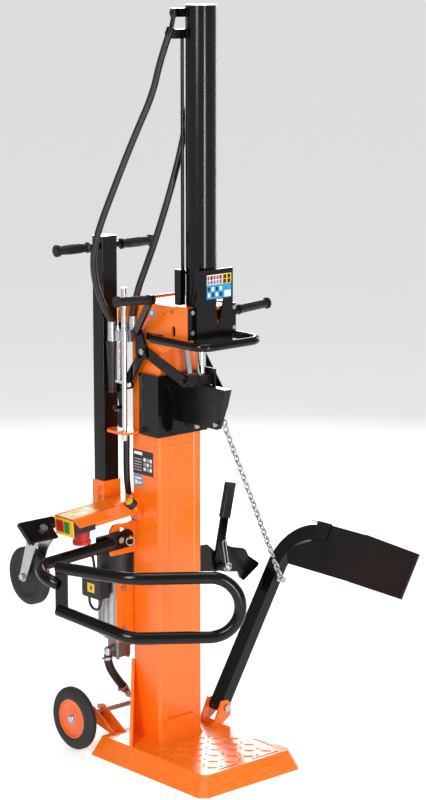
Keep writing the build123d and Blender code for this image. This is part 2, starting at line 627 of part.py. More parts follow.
def pump_body():
    """Gear pump hung under the motor, with its ports."""
    body = rod((MOTOR_X, MOTOR_Y, 372), (MOTOR_X, MOTOR_Y, MOTOR_BOTTOM), 44)
    case = block(PUMP_X - 30, PUMP_X + 30, MOTOR_Y - 26, MOTOR_Y + 26, PUMP_BOTTOM, 374)
    body += fillet(case.edges().filter_by(Axis.Z), 8)
    body += rod((PUMP_X - 30, 143, 334), (PUMP_X - 36, 143, 334), 15)
    body += rod((PUMP_X + 30, MOTOR_Y, 340), (PUMP_X + 36, MOTOR_Y, 340), 13)
    for x in (MOTOR_X, MOTOR_X + GEAR_CENTRES):
        body -= rod((x, MOTOR_Y, GEAR_LOW - 0.5), (x, MOTOR_Y, GEAR_LOW + GEAR_WIDTH + 0.5), GEAR_CENTRES / 2 + 2)
    return body - rod((MOTOR_X, MOTOR_Y, 340), (MOTOR_X, MOTOR_Y, 390), 8 + RUN_FIT)


def gear(x, phase):
    """Spur gear with plain tapered teeth."""
    pitch = GEAR_CENTRES / 2
    shape = Pos(x, MOTOR_Y, GEAR_LOW) * Cylinder(pitch - 1.6, GEAR_WIDTH, align=MIN3)
    outline = Polyline((pitch - 2, -1.25), (pitch + 1.2, -0.6), (pitch + 1.2, 0.6), (pitch - 2, 1.25), close=True)
    tooth = extrude(make_face(outline), amount=GEAR_WIDTH)
    for index in range(GEAR_TEETH):
        shape += Pos(x, MOTOR_Y, GEAR_LOW) * Rot(0, 0, phase + 360 * index / GEAR_TEETH) * tooth
    return shape


def drive_gear():
    """Driving gear on the end of the motor shaft."""
    return gear(MOTOR_X, 180 / GEAR_TEETH)


def pump_gear():
    """Driven gear of the pump."""
    return gear(MOTOR_X + GEAR_CENTRES, 180)


def pump_bolts():
    """Cap screws under the pump."""
    return group([hex_head((PUMP_X + x, MOTOR_Y + y, PUMP_BOTTOM), (0, 0, -1), 11, 7) for x in (-21, 21) for y in (-18, 18)])


def suction_elbow():
    """Elbow from the pump to the suction hose, and the tank outlet at the other end."""
    start = HOSE_SUCTION[0]
    corner = (start[0], 143, 334)
    elbow = rod((PUMP_X - 36, 143, 334), corner, 12) + Pos(*corner) * Sphere(12) + rod(corner, start, 12)
    end = HOSE_SUCTION[-1]
    knee = along(end, HOSE_SUCTION[-2], -22)
    outlet = rod(end, knee, 12) + Pos(*knee) * Sphere(12) + rod(knee, (knee[0], COLUMN_Y, knee[2]), 12)
    return group(elbow, outlet)


def hose_clips():
    """Worm-drive clips at the ends of the suction hose."""
    clips = []
    for start, end in ((HOSE_SUCTION[0], HOSE_SUCTION[1]), (HOSE_SUCTION[-1], HOSE_SUCTION[-2])):
        low, high = along(start, end, 6), along(start, end, 15)
        clips.append(tube(low, high, SUCTION_R + 1.6, SUCTION_R) + Pos(low[0] - 20.5, low[1] - 2, low[2]) * Box(9, 9, 10))
    return group(clips)


def motor_plate():
    """Orange plate that carries the motor behind the column."""
    return block(-155, -COLUMN_X + 30, COLUMN_Y, 72, 380, 584)


def motor_bolts():
    """Bolts through the motor plate."""
    return group([hex_head((-129, COLUMN_Y, z), (0, -1, 0), 17, 8) for z in (423, 556)])


def pressure_fittings():
    """Hose ends at the link shelf and at the pump."""
    top = rod((-77, 106, 1066), HOSE_PRESSURE[0], 12) + rod((-104, 100, 1060), (-77, 106, 1060), 5)
    end = HOSE_PRESSURE[-1]
    low = rod((PUMP_X + 36, MOTOR_Y, 340), (end[0], MOTOR_Y, 340), 11) + Pos(end[0], MOTOR_Y, 340) * Sphere(11)
    return group(top, low + rod((end[0], MOTOR_Y, 340), end, 11))


# ---------------------------------------------------------------- switch arm
def drooped(shape):
    """Turns the outer end of the arm down about its root."""
    return Pos(-95, 0, 851) * Rot(0, ARM_DROOP, 0) * Pos(95, 0, -851) * shape


def support_arm():
    """Arm welded to the column through an end plate; its slanted boss takes the clamp knob."""
    plate = side_plate([(20, 780), (62, 782), (62, 866), (44, 876), (26, 870), (20, 858)], -95, -COLUMN_X)
    beam = block(-292, -93, 24, 88, 806, 855) - block(-288, -97, 28, 84, 810, 851)
    sheet = block(-201, -95, 24, 92, 855, 858)
    boss = rod((-125, 4, 830), (-137, 4, 842), 10) + block(-136, -118, 4, 26, 820, 836)
    boss -= rod((-120, 4, 825), (-145, 4, 850), KNOB_PIN_R + RUN_FIT)
    return plate + drooped(beam + sheet) + boss


def switch_hood():
    """Folded rain hood over the switch, with a turned-down front edge."""
    top = block(-382, -200, 0, 92, 855, 858)
    rear = block(-382, -296, 89, 92, 806, 856)
    flap = side_plate([(1, 858), (1, 855), (-32, 837), (-33.5, 839.6)], -382, -258)
    return drooped(top + rear + flap)


BUTTONS = {"start": (19.0, 44.0), "stop": (48.0, 84.0)}    # Y limits
BUTTON_LOW, BUTTON_HIGH = 809.0, 845.0


def button_well(y0, y1):
    """Space left open around a push button."""
    return block(-392, -364, y0 - 0.4, y1 + 0.4, BUTTON_LOW - 0.4, BUTTON_HIGH + 0.4)


def switch_box():
    """Switch body with its frame; the two button wells are open to the left."""
    body = fillet(block(-376, -294, 2, 86, 804, 853).edges().filter_by(Axis.X), 4)
    frame = fillet(block(-381, -374, 0, 88, 798, 853.5).edges().filter_by(Axis.X), 4)
    switch = body + frame
    for limits in BUTTONS.values():
        switch -= button_well(*limits)
    return drooped(switch)


def button(name):
    """Square push button in its well."""
    y0, y1 = BUTTONS[name]
    cap = block(-385, -369, y0, y1, BUTTON_LOW, BUTTON_HIGH)
    return drooped(fillet(cap.edges().group_by(Axis.X)[0], 1.5))


def plug_inlet():
    """Appliance inlet under the switch, with its lid."""
    body = rod((-331, 30, 804), (-331, 30, 768), 26) + rod((-331, 30, 774), (-331, 30, 764), 29)
    return drooped(body - rod((-331, 30, 806), (-331, 30, 776), 22))


KNOB_PIN_R = 5.0
KNOB_FOOT, KNOB_HEAD = (-137.5, 4.0, 842.5), (-151.6, 4.0, 856.6)


def clamp_knob():
    """Black eight-sided knob with a yellow face."""
    run = Vector(*KNOB_HEAD) - Vector(*KNOB_FOOT)
    plane = Plane(origin=KNOB_FOOT, x_dir=(0, 1, 0), z_dir=run)
    knob = extrude(plane * RegularPolygon(18, 8), amount=run.length, dir=run)
    knob += rod(KNOB_HEAD, along(KNOB_HEAD, KNOB_FOOT, -2), 13)
    return knob + rod(along(KNOB_FOOT, KNOB_HEAD, -14), KNOB_FOOT, KNOB_PIN_R)


# ---------------------------------------------------------------- transport handle
def handle_socket():
    """Square socket behind the arm, with two clamp bolts."""
    wall = 3.5
    x0, x1 = HANDLE_X - 30.5 - wall, HANDLE_X + 30.5 + wall
    y0, y1 = HANDLE_Y - 25.5 - wall, HANDLE_Y + 25.5 + wall
    socket = block(x0, x1, y0, y1, 798, 902) - block(x0 + wall, x1 - wall, y0 + wall, y1 - wall, 790, 910)
    socket += block(x0, x1, 92.5, y0 + 1, 800, 842)
    for z in (846, 872):
        socket += hex_head((x0, HANDLE_Y, z), (-1, 0, 0), 17, 7)
    return socket


def handle_tube():
    """Rectangular tube that slides in the socket."""
    outer = block(HANDLE_X - 30.5, HANDLE_X + 30.5, HANDLE_Y - 25.5, HANDLE_Y + 25.5, 806, HANDLE_TOP)
    outer = fillet(outer.edges().filter_by(Axis.Z), 4)
    outer -= block(HANDLE_X - 27.5, HANDLE_X + 27.5, HANDLE_Y - 22.5, HANDLE_Y + 22.5, 800, HANDLE_TOP - 3)
    return outer - rod((HANDLE_X - 40, HANDLE_Y, HANDLE_BAR_Z), (HANDLE_X + 40, HANDLE_Y, HANDLE_BAR_Z), 10)


def handle_bar():
    """Cross bar for both hands."""
    return rod((HANDLE_X - 190, HANDLE_Y, HANDLE_BAR_Z), (HANDLE_X + 190, HANDLE_Y, HANDLE_BAR_Z), 10)


def handle_grips():
    """Bulged rubber grips with end flanges."""
    profile = [(0, 10), (0, 17), (5, 17), (8, 13), (30, 15.5), (70, 16), (112, 13.5), (118, 19), (126, 19), (126, 10)]
    face = Plane.XZ * make_face(Polyline(*profile, close=True))
    right = revolve(face, axis=Axis.X)
    knob = rod((126, 0, 0), (129, 0, 0), 12)
    shape = Pos(HANDLE_X + 66, HANDLE_Y, HANDLE_BAR_Z) * (right + knob)
    other = Pos(HANDLE_X - 66, HANDLE_Y, HANDLE_BAR_Z) * mirror(right + knob, Plane.YZ)
    return group(shape, other)


# ---------------------------------------------------------------- side guard
def guard_bracket():
    """Plate on the column with the curved slot that the ring pin runs in."""
    x, z = GUARD_PIVOT
    plate = front_plate([(-COLUMN_X, 674), (-186, 674), (-190, 690), (-190, 756), (-176, 774), (-COLUMN_X, 776)], 54, 62)
    slot = Pos(PIN_REACH, 0) * Circle(5.4)
    for turn in range(2, 74, 4):
        slot += Rot(0, 0, turn) * Pos(PIN_REACH, 0) * Circle(5.4)
    sector = extrude(Plane(origin=(x, 66, z), x_dir=(1, 0, 0), z_dir=(0, -1, 0)) * slot, amount=14, dir=(0, -1, 0))
    return plate - sector - rod((x, 50, z), (x, 66, z), 6)


def guard_pivot():
    """Pivot bolt of the side guard."""
    x, z = GUARD_PIVOT
    return rod((x, 70, z), (x, 44.6, z), 6) + hex_head((x, 44.6, z), (0, -1, 0), 19, 7) + hex_head((x, 62, z), (0, 1, 0), 19, 8)


GUARD_UPPER, GUARD_LOWER = 725.0, 540.0
GUARD_REAR = (-505.0, -80.0)              # X, Y where the loop starts
GUARD_ELBOW = (-425.0, -325.0)
GUARD_NOSE = (-163.0, -527.0)
PIN_REACH = 34.0


def pin_point():
    """Place of the ring pin, beside the pivot."""
    return GUARD_PIVOT[0] + PIN_REACH * cos(radians(6)), GUARD_PIVOT[1] + PIN_REACH * sin(radians(6))


def guard_root():
    """Flat lug and bent tube that carry the guard out to the left."""
    lug = front_plate([(-104, 697), (-250, 690), (-250, 748), (-120, 754), (-104, 742)], 45.7, 53.7)
    lug -= rod((GUARD_PIVOT[0], 40, GUARD_PIVOT[1]), (GUARD_PIVOT[0], 60, GUARD_PIVOT[1]), 6 + RUN_FIT)
    x, z = pin_point()
    lug -= rod((x, 40, z), (x, 60, z), 5)
    path = [(-200, GUARD_Y, 721), (-490, GUARD_Y, 703), (-529, -48, 686), (-504, -80, 672)]
    root = sweep_tube(path, [66, 60], GUARD_TUBE_R, GUARD_TUBE_R - 2.5)
    return lug + root + rod(path[0], along(path[0], path[1], 3), GUARD_TUBE_R)


def guard_plate():
    """Upright flat bar between the ends of the loop."""
    run = Vector(GUARD_ELBOW[0] - GUARD_REAR[0], GUARD_ELBOW[1] - GUARD_REAR[1], 0).normalized()
    plane = Plane(origin=(*GUARD_REAR, 0), x_dir=run, z_dir=run.cross(Vector(0, 0, 1)))
    outline = make_face(Polyline((-8, 580), (34, 566), (34, 740), (-8, 740), close=True))
    return extrude(plane * outline, amount=4, both=True)


def guard_loop():
    """Loop that runs forwards beside the log and across its front corner."""
    path = [(*GUARD_REAR, GUARD_UPPER), (*GUARD_ELBOW, GUARD_UPPER), (*GUARD_NOSE, GUARD_UPPER),
            (*GUARD_NOSE, GUARD_LOWER), (*GUARD_ELBOW, GUARD_LOWER), (*GUARD_REAR, GUARD_LOWER + 52)]
    loop = sweep_tube(path, [150, 92, 92, 120], GUARD_TUBE_R, GUARD_TUBE_R - 2.5)
    for end, inward in ((path[0], path[1]), (path[-1], path[-2])):
        loop += rod(end, along(end, inward, 3), GUARD_TUBE_R)
    return loop


def ring_pin():
    """Quick-release pin with its pull ring."""
    x, z = pin_point()
    pin = rod((x, 66, z), (x, 45.7, z), 5) + rod((x, 45.7, z), (x, 35, z), 7)
    return pin + Plane(origin=(x, 36, z - 12), z_dir=(0.5, 1, 0)).location * Torus(13, 1.6)


# ---------------------------------------------------------------- log lifter
def raised(shape):
    """Places a shape drawn flat along +X at the lifter's raised angle."""
    return Pos(LIFT_HINGE[0], 0, LIFT_HINGE[1]) * Rot(0, -LIFT_ANGLE, 0) * shape


def lifter_bracket():
    """Two lugs on the base that carry the lifter hinge."""
    low, high = LIFT_Y - LIFT_TUBE_Y / 2 - 2, LIFT_Y + LIFT_TUBE_Y / 2 + 2
    outline = [(148, BASE_TOP), (188, BASE_TOP), (222, 86), (222, 124), (208, 138), (184, 138)]
    lugs = []
    for y0 in (low - 8, high):
        lug = front_plate(outline, y0, y0 + 8)
        lugs.append(lug - rod((LIFT_HINGE[0], -90, LIFT_HINGE[1]), (LIFT_HINGE[0], 40, LIFT_HINGE[1]), LIFT_PIN_R))
    return lugs[0] + lugs[1] + block(148, 178, low, high, BASE_TOP, BASE_TOP + 6)


def lifter_pin():
    """Hinge pin with a head at each end."""
    x, z = LIFT_HINGE
    low, high = LIFT_Y - LIFT_TUBE_Y / 2 - 10, LIFT_Y + LIFT_TUBE_Y / 2 + 10
    pin = rod((x, low, z), (x, high, z), LIFT_PIN_R)
    return pin + hex_head((x, low, z), (0, -1, 0), 22, 8) + hex_head((x, high, z), (0, 1, 0), 22, 8)


def lifter_arm():
    """Rectangular tube that rises from the hinge and turns forwards to the platform."""
    half_y, half_t = LIFT_TUBE_Y / 2, LIFT_TUBE_T / 2
    path = FilletPolyline((8, LIFT_Y, 0), (640, LIFT_Y, 0), (640, -180, 0), radius=140)
    plane = Plane(origin=(8, LIFT_Y, 0), x_dir=(0, 1, 0), z_dir=(1, 0, 0))
    section = Rectangle(LIFT_TUBE_Y, LIFT_TUBE_T) - Rectangle(LIFT_TUBE_Y - 7, LIFT_TUBE_T - 7)
    arm = sweep(plane * section, path=path)
    arm += rod((0, LIFT_Y - half_y, 0), (0, LIFT_Y + half_y, 0), half_t)
    arm -= rod((0, -90, 0), (0, 60, 0), LIFT_PIN_R + RUN_FIT)
    return raised(arm)


def lifter_platform():
    """Flat plate that the log lies on, with its welded end plate and corner stop."""
    low, high = LIFT_TUBE_T / 2, LIFT_TUBE_T / 2 + 6
    inner = floor_plate([(676, -96), (674, -373), (512, -373), (514, -90), (560, -58), (607, -150), (672, -150)], low, high)
    outer = floor_plate([(675, -373), (658, -612), (504, -612), (511, -373)], low, high + 3)
    return raised(inner + outer + block(618, 678, -215, -152, high, high + 6))


HOOK_REACH, HOOK_Y = 461.0, -66.0


def chain_hook():
    """Bolt on the lifter and the last two links of the chain."""
    side = LIFT_Y - LIFT_TUBE_Y / 2
    shank = rod((HOOK_REACH, side, 0), (HOOK_REACH, HOOK_Y - 7, 0), 5)
    shank += rod((HOOK_REACH, side, 0), (HOOK_REACH, side - 8, 0), 11)
    return raised(shank + hex_head((HOOK_REACH, HOOK_Y - 7, 0), (0, -1, 0), 19, 7))


LINK_WIRE, LINK_PITCH, LINK_HALF = 2.8, 22.5, 7.6
EYE_LINK, HOOK_LINK = 18.0, 19.5            # from the eye and the hook to the middle of their first links
LINKS_ABOVE, LINKS_ON_HOOK = 28, 4
EYE_POINT = (24.0, -248.0, 1114.0)


def hook_point():
    """Centre of the hook bolt in the machine's frame."""
    turn = radians(LIFT_ANGLE)
    return (LIFT_HINGE[0] + HOOK_REACH * cos(turn), HOOK_Y, LIFT_HINGE[1] + HOOK_REACH * sin(turn))


def chain_link(index, first, start, end):
    """One oval link, every second one turned a quarter."""
    run = (Vector(*end) - Vector(*start)).normalized()
    side = Vector(0, 1, 0) if index % 2 else run.cross(Vector(0, 1, 0)).normalized()
    centre = along(start, end, first + LINK_PITCH * index)
    straight = LINK_PITCH + 2 * LINK_WIRE - 2 * LINK_HALF
    oval = SlotCenterToCenter(straight, 2 * LINK_HALF).wires()[0]
    section = Plane(origin=oval @ 0, z_dir=oval % 0) * Circle(LINK_WIRE)
    return Plane(origin=centre, x_dir=run, z_dir=run.cross(side)).location * sweep(section, path=oval)


def chain_links():
    """Chain from the eye on the wedge to just above the hook."""
    return group([chain_link(index, EYE_LINK, EYE_POINT, hook_point()) for index in range(LINKS_ABOVE)])


def chain_tail():
    """Links that stay on the hook bolt."""
    return group([chain_link(index, HOOK_LINK, hook_point(), EYE_POINT) for index in range(LINKS_ON_HOOK)])


# ---------------------------------------------------------------- lock lever
def lock_bracket():
    """Bracket on the right of the column with the lock lever's pin."""
    x, z = LOCK_PIVOT
    plate = front_plate([(COLUMN_X, 560), (200, 552), (x + 16, z - 20), (x + 22, z), (x + 10, z + 20), (200, 650),
                         (COLUMN_X, 656)], LOCK_Y + 5, LOCK_Y + 13)
    plate += block(COLUMN_X, COLUMN_X + 8, 20, 60, 556, 658)
    return plate - rod((x, 10, z), (x, 60, z), 8)


def lock_pin():
    """Ball-headed pin with its wire clip."""
    x, z = LOCK_PIVOT
    pin = rod((x, 4, z), (x, 48, z), 8) + Pos(x, 2, z) * Sphere(15)
    clip_path = [(x - 8, 2, z + 10), (x - 26, -2, z + 88), (x - 14, -2, z + 96), (x + 4, 2, z + 12)]
    clip = sweep_tube(clip_path, [4, 4], 1.8)
    return pin + clip


def lock_lever():
    """Flat lock lever with a notch and a hooked nose that catches the lifter."""
    x, z = LOCK_PIVOT
    outline = [(x - 26, z - 12), (x - 34, z + 30), (x - 24, z + 76), (x - 4, z + 170), (x + 26, z + 164),
               (x + 12, z + 92), (x + 20, z + 64), (x + 42, z + 54), (x + 90, z + 42), (x + 101, z + 35),
               (x + 114, z + 12), (x + 160, z - 20), (x + 158, z - 30), (x + 92, z - 69), (x + 78, z - 57),
               (x + 69, z - 34), (x + 11, z - 24)]
    plate = front_plate(outline, LOCK_Y - 4, LOCK_Y + 4.7)
    return plate - rod((x, 10, z), (x, 60, z), 8 + RUN_FIT)


def lock_grip():
    """Rubber sleeve on the lock lever."""
    x, z = LOCK_PIVOT
    foot, head = (x + 10, z + 160), (x + 36, z + 274)
    run = Vector(head[0] - foot[0], 0, head[1] - foot[1])
    plane = Plane(origin=(foot[0], LOCK_Y, foot[1]), x_dir=(0, 1, 0), z_dir=run)
    sleeve = extrude(plane * RectangleRounded(20, 40, 6), amount=run.length, dir=run)
    return sleeve - front_plate([(x - 30, z + 60), (x - 4, z + 170), (x + 26, z + 164), (x + 30, z + 60)],
                                LOCK_Y - 4, LOCK_Y + 4.7)


# ---------------------------------------------------------------- wheels
def axle():
    """Wheel axle with a head at each end."""
    shaft = rod((-WHEEL_X - 12, WHEEL_Y, AXLE_Z), (WHEEL_X + 12, WHEEL_Y, AXLE_Z), AXLE_R)
    for side in (-1, 1):
        shaft += rod((side * (WHEEL_X + 11), WHEEL_Y, AXLE_Z), (side * (WHEEL_X + 17), WHEEL_Y, AXLE_Z), 14)
    return shaft


def wheel_tyre(side):
    """Solid rubber tyre with a rounded tread."""
    half = WHEEL_WIDTH / 2
    right = [(half - 3, RIM_R), (half, 74), (half, 90), (half - 7, WHEEL_R - 3), (half - 13, WHEEL_R)]
    profile = right + [(-x, r) for x, r in reversed(right)]
    face = Plane.XY * make_face(Polyline(*profile, close=True))
    return Pos(side * WHEEL_X, WHEEL_Y, AXLE_Z) * revolve(face, axis=Axis.X)


def wheel_rim(side):
    """Pressed rim with its dished face and its hub."""
    dish = [(-14, RIM_R), (14, RIM_R), (14, RIM_R - 5), (9, RIM_R - 9), (5, 40), (9, 24), (10.5, 18),
            (10.5, AXLE_R + RUN_FIT), (-14, AXLE_R + RUN_FIT), (-14, 18), (4, 18), (0, 40), (2, RIM_R - 7),
            (-14, RIM_R - 5)]
    face = Plane.XY * make_face(Polyline(*[(side * x, r) for x, r in dish], close=True))
    return Pos(side * WHEEL_X, WHEEL_Y, AXLE_Z) * revolve(face, axis=Axis.X)


# ---------------------------------------------------------------- caster
def in_caster(shape):
    """Places a shape from the caster's own frame, whose Z is the swivel axis."""
    lean = radians(CASTER_TILT)
    plane = Plane(origin=CASTER_ORIGIN, x_dir=(1, 0, 0), z_dir=(0, -sin(lean), cos(lean)))
    return plane.location * shape


def caster_bracket():
    """Tilted top plate, with the beam that joins it to the handle socket."""
    plate = block(-72, 36, -40, 40, 0, 8) + block(30, 62, 12, 40, 0, 8) + block(-72, -68, -40, 40, -6, 8)
    plate -= rod((0, 0, -10), (0, 0, 10), 8)
    stud = rod((-64, -40, 4), (-64, -46, 4), 6)
    return in_caster(plate + stud) + block(-370, HANDLE_X - 34.5, 122, 150, 784, 812)


def caster_fork():
    """Pressed fork with its swivel bolt."""
    y, z = CASTER_AXLE
    fork = block(-30, 30, -34, 34, -7, -0.5)
    fork += rod((0, 0, -2), (0, 0, 13), 8 - RUN_FIT) + rod((0, 0, 8.6), (0, 0, 16), 13)
    outline = [(-34, -7), (26, -7), (18, -40), (y + 17, z), (y + 8, z - 15), (y - 8, z - 15), (y - 17, z), (-34, -50)]
    for side in (-1, 1):
        x0, x1 = sorted((side * 24, side * 28))
        fork += side_plate(outline, x0, x1)
    fork -= rod((-40, y, z), (40, y, z), 6)
    return in_caster(fork)


def caster_axle():
    """Axle bolt and nut of the caster wheel."""
    y, z = CASTER_AXLE
    shape = rod((-34, y, z), (34, y, z), 6) + hex_head((-28, y, z), (-1, 0, 0), 19, 8) + hex_head((28, y, z), (1, 0, 0), 19, 8)
    return in_caster(shape)


def caster_wheel():
    """Solid rubber caster wheel with a moulded hub."""
    half = CASTER_WIDTH / 2
    profile = [(22.5, 6 + RUN_FIT), (22.5, 18), (half - 7, 26), (half - 7, 58), (half - 2, 66), (half, 72), (half - 1, 82),
               (half - 8, CASTER_R)]
    outline = profile + [(-x, r) for x, r in reversed(profile)]
    face = Plane.XY * make_face(Polyline(*outline, close=True))
    y, z = CASTER_AXLE
    return in_caster(Pos(0, y, z) * revolve(face, axis=Axis.X))


# ---------------------------------------------------------------- the whole machine
def nodes():
    """Every node of the machine, by name."""
    print("eye to hook", round((Vector(*hook_point()) - Vector(*EYE_POINT)).length), "mm")
    return {
        # frame
        "base_plate": group(base_plate(), base_tread()),
        "column": column(),
        "frame_brackets": group(gusset(-1, 133, 314), gusset(1, 76, 290), foot_plate(), axle_brackets(),
                                lifter_bracket(), guard_bracket(), motor_plate()),
        "frame_hardware": group(axle(), lever_pivots(), lifter_pin(), guard_pivot(), lock_pin(), head_bolts(),
                                motor_bolts()),
        "head_plates": group(head_plates(), head_shelves()),
        "cylinder_bracket": cylinder_bracket(),
        "upper_guard_ring": upper_guard_ring(),
        # main wheels
        "wheel_left": group(wheel_tyre(-1), wheel_rim(-1)),
        "wheel_right": group(wheel_tyre(1), wheel_rim(1)),
        # cylinder and ram
        "cylinder_tube": group(cylinder_tube(), cylinder_cap(), cylinder_gland()),
        "port_blocks": port_blocks(),
        "pipe_and_manifold": group(steel_pipe(), manifold_block()),
        "piston_rod": group(piston_rod(), piston()),
        "carriage": carriage(),
        "slide_pads": slide_pads(),
        "wedge": group(wedge(), rod_clevis()),
        "wedge_fittings": group(trip_strips(), chain_eye()),
        # log lifter and its chain
        "chain_links": chain_links(),
        "chain_hook": group(chain_hook(), chain_tail()),
        "lifter_arm": lifter_arm(),
        "lifter_platform": lifter_platform(),
        "lock_bracket": lock_bracket(),
        "lock_lever": lock_lever(),
        "lock_grip": lock_grip(),
        # hand levers and valve
        "lever_left": group(lever_frame(-1), lever_claw(-1)),
        "lever_left_grip": lever_grip(-1),
        "lever_right": group(lever_frame(1), lever_claw(1)),
        "lever_right_grip": lever_grip(1),
        "valve_bracket": group(valve_bracket(), link_shelf()),
        "valve_block": valve_block(),
        "valve_rods": valve_rods(),
        "valve_boot": valve_boot(),
        "valve_link": valve_link(),
        # hydraulics
        "hose_fittings": group(valve_fittings(), pressure_fittings(), suction_elbow(), hose_clips()),
        "hose_one": hose("hose_one", HOSE_ONE, HOSE_R),
        "hose_two": hose("hose_two", HOSE_TWO, HOSE_R),
        "hose_pressure": hose("hose_pressure", HOSE_PRESSURE, HOSE_R),
        "hose_suction": hose("hose_suction", HOSE_SUCTION, SUCTION_R),
        "lead_switch": hose("lead_switch", LEAD_SWITCH, CABLE_R),
        "lead_loop": hose("lead_loop", LEAD_LOOP, CABLE_R),
        "motor_case": motor_body(),
        "motor_covers": group(fan_cover(), terminal_box()),
        "motor_rotor": group(motor_shaft(), motor_fan(), drive_gear()),
        "pump_body": group(pump_body(), pump_bolts()),
        "pump_gear": pump_gear(),
        # side guard
        "guard_loop": group(guard_root(), guard_plate(), guard_loop()),
        "guard_ring_pin": ring_pin(),
        # switch arm
        "support_arm": group(support_arm(), switch_hood()),
        "switch_box": switch_box(),
        "start_button": button("start"),
        "stop_button": button("stop"),
        "plug_inlet": plug_inlet(),
        "clamp_knob": clamp_knob(),
        # transport handle and caster
        "handle_socket": handle_socket(),
        "handle_tube": group(handle_tube(), handle_bar()),
        "handle_grips": handle_grips(),
        "caster_bracket": caster_bracket(),
        "caster_fork": group(caster_fork(), caster_axle()),
        "caster_wheel": caster_wheel(),
    }


if __name__ == "__main__":
    os.makedirs("parts", exist_ok=True)
    for name, shape in nodes().items():
        export_step(shape, f"parts/{name}.step")
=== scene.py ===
from math import pi, radians

import bmesh
import bpy
from mathutils import Matrix, Vector


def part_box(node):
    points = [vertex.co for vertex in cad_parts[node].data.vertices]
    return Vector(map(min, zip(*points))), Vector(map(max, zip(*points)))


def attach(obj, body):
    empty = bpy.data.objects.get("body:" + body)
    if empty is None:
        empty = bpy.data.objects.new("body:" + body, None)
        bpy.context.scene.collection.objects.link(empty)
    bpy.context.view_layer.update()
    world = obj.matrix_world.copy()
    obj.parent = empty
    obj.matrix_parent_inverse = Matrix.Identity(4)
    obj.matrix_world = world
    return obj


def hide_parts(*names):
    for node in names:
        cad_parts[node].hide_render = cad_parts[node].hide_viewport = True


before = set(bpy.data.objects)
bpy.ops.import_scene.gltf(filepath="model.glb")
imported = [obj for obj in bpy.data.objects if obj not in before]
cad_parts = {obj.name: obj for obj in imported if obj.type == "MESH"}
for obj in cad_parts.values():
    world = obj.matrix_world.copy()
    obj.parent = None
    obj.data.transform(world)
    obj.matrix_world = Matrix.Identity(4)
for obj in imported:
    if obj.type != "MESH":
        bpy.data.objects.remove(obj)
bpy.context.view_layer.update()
FIXED = "frame"                      # the body that everything fixed rides on
MM = 0.001


# ------------------------------------------------------------------ camera and light
def set_camera():
    """Eye height just above the guard ring, looking down a little at the left front corner."""
    right, up = Vector((0.7466, -0.6650, 0.0)), Vector((0.1326, 0.1488, 0.9798))
    back = -Vector((0.6520, 0.7316, -0.1990))
    data = bpy.data.cameras.new("camera")
    data.sensor_fit, data.sensor_height, data.lens = "VERTICAL", 36.0, 106.2
    eye = bpy.data.objects.new("camera", data)
    turn = Matrix((right, up, back)).transposed().to_4x4()
    eye.matrix_world = Matrix.Translation((-4.751, -5.552, 2.648)) @ turn
    bpy.context.collection.objects.link(eye)
    bpy.context.scene.camera = eye


def soft_box(name, place, target, size, watts):
    """Large studio soft box aimed at a point."""
    data = bpy.data.lights.new(name, "AREA")
    data.shape, data.size, data.size_y, data.energy = "RECTANGLE", size[0], size[1], watts
    lamp = bpy.data.objects.new(name, data)
    aim = (Vector(target) - Vector(place)).to_track_quat("-Z", "Y").to_matrix().to_4x4()
    lamp.matrix_world = Matrix.Translation(place) @ aim
    bpy.context.collection.objects.link(lamp)


set_camera()
soft_box("key_box", (-4.2, -1.6, 3.2), (0, 0, 1.1), (1.0, 2.8), 125)
soft_box("front_box", (-1.25, -4.9, 1.15), (0, 0, 1.2), (0.45, 2.2), 105)
soft_box("side_box", (4.4, 0.9, 2.2), (0, 0, 1.2), (0.5, 2.6), 45)
soft_box("back_box", (3.0, 3.4, 2.6), (0, 0, 1.2), (1.0, 2.4), 70)
soft_box("top_box", (0.2, -0.4, 5.2), (0, 0, 0.8), (2.2, 2.2), 60)
bpy.context.scene.view_settings.view_transform = "Standard"


# ------------------------------------------------------------------ materials
def linear(hex_code):
    """Turns an sRGB hex colour into linear RGBA."""
    channels = [int(hex_code[i:i + 2], 16) / 255 for i in (1, 3, 5)]
    return [c / 12.92 if c <= 0.04045 else ((c + 0.055) / 1.055) ** 2.4 for c in channels] + [1.0]


def add(tree, kind, links=None, **settings):
    """Adds a node with its settings; links gives an input a value or another node's output."""
    made = tree.nodes.new(kind)
    for key, value in settings.items():
        setattr(made, key, value)
    for key, value in (links or {}).items():
        if isinstance(value, bpy.types.NodeSocket):
            tree.links.new(value, made.inputs[key])
        else:
            made.inputs[key].default_value = value
    return made


def new_material(name):
    """An empty node material with its place on the object as the pattern's coordinates."""
    material = bpy.data.materials.new(name)
    material.use_nodes = True
    tree = material.node_tree
    tree.nodes.clear()
    place = add(tree, "ShaderNodeTexCoord").outputs["Object"]
    return material, tree, place


def finish_material(tree, links):
    """Adds the shader and the output."""
    shader = add(tree, "ShaderNodeBsdfPrincipled", links)
    add(tree, "ShaderNodeOutputMaterial", {"Surface": shader.outputs[0]})


def per_metre(size_mm):
    """Noise scale whose features are size_mm across."""
    return 1000.0 / size_mm


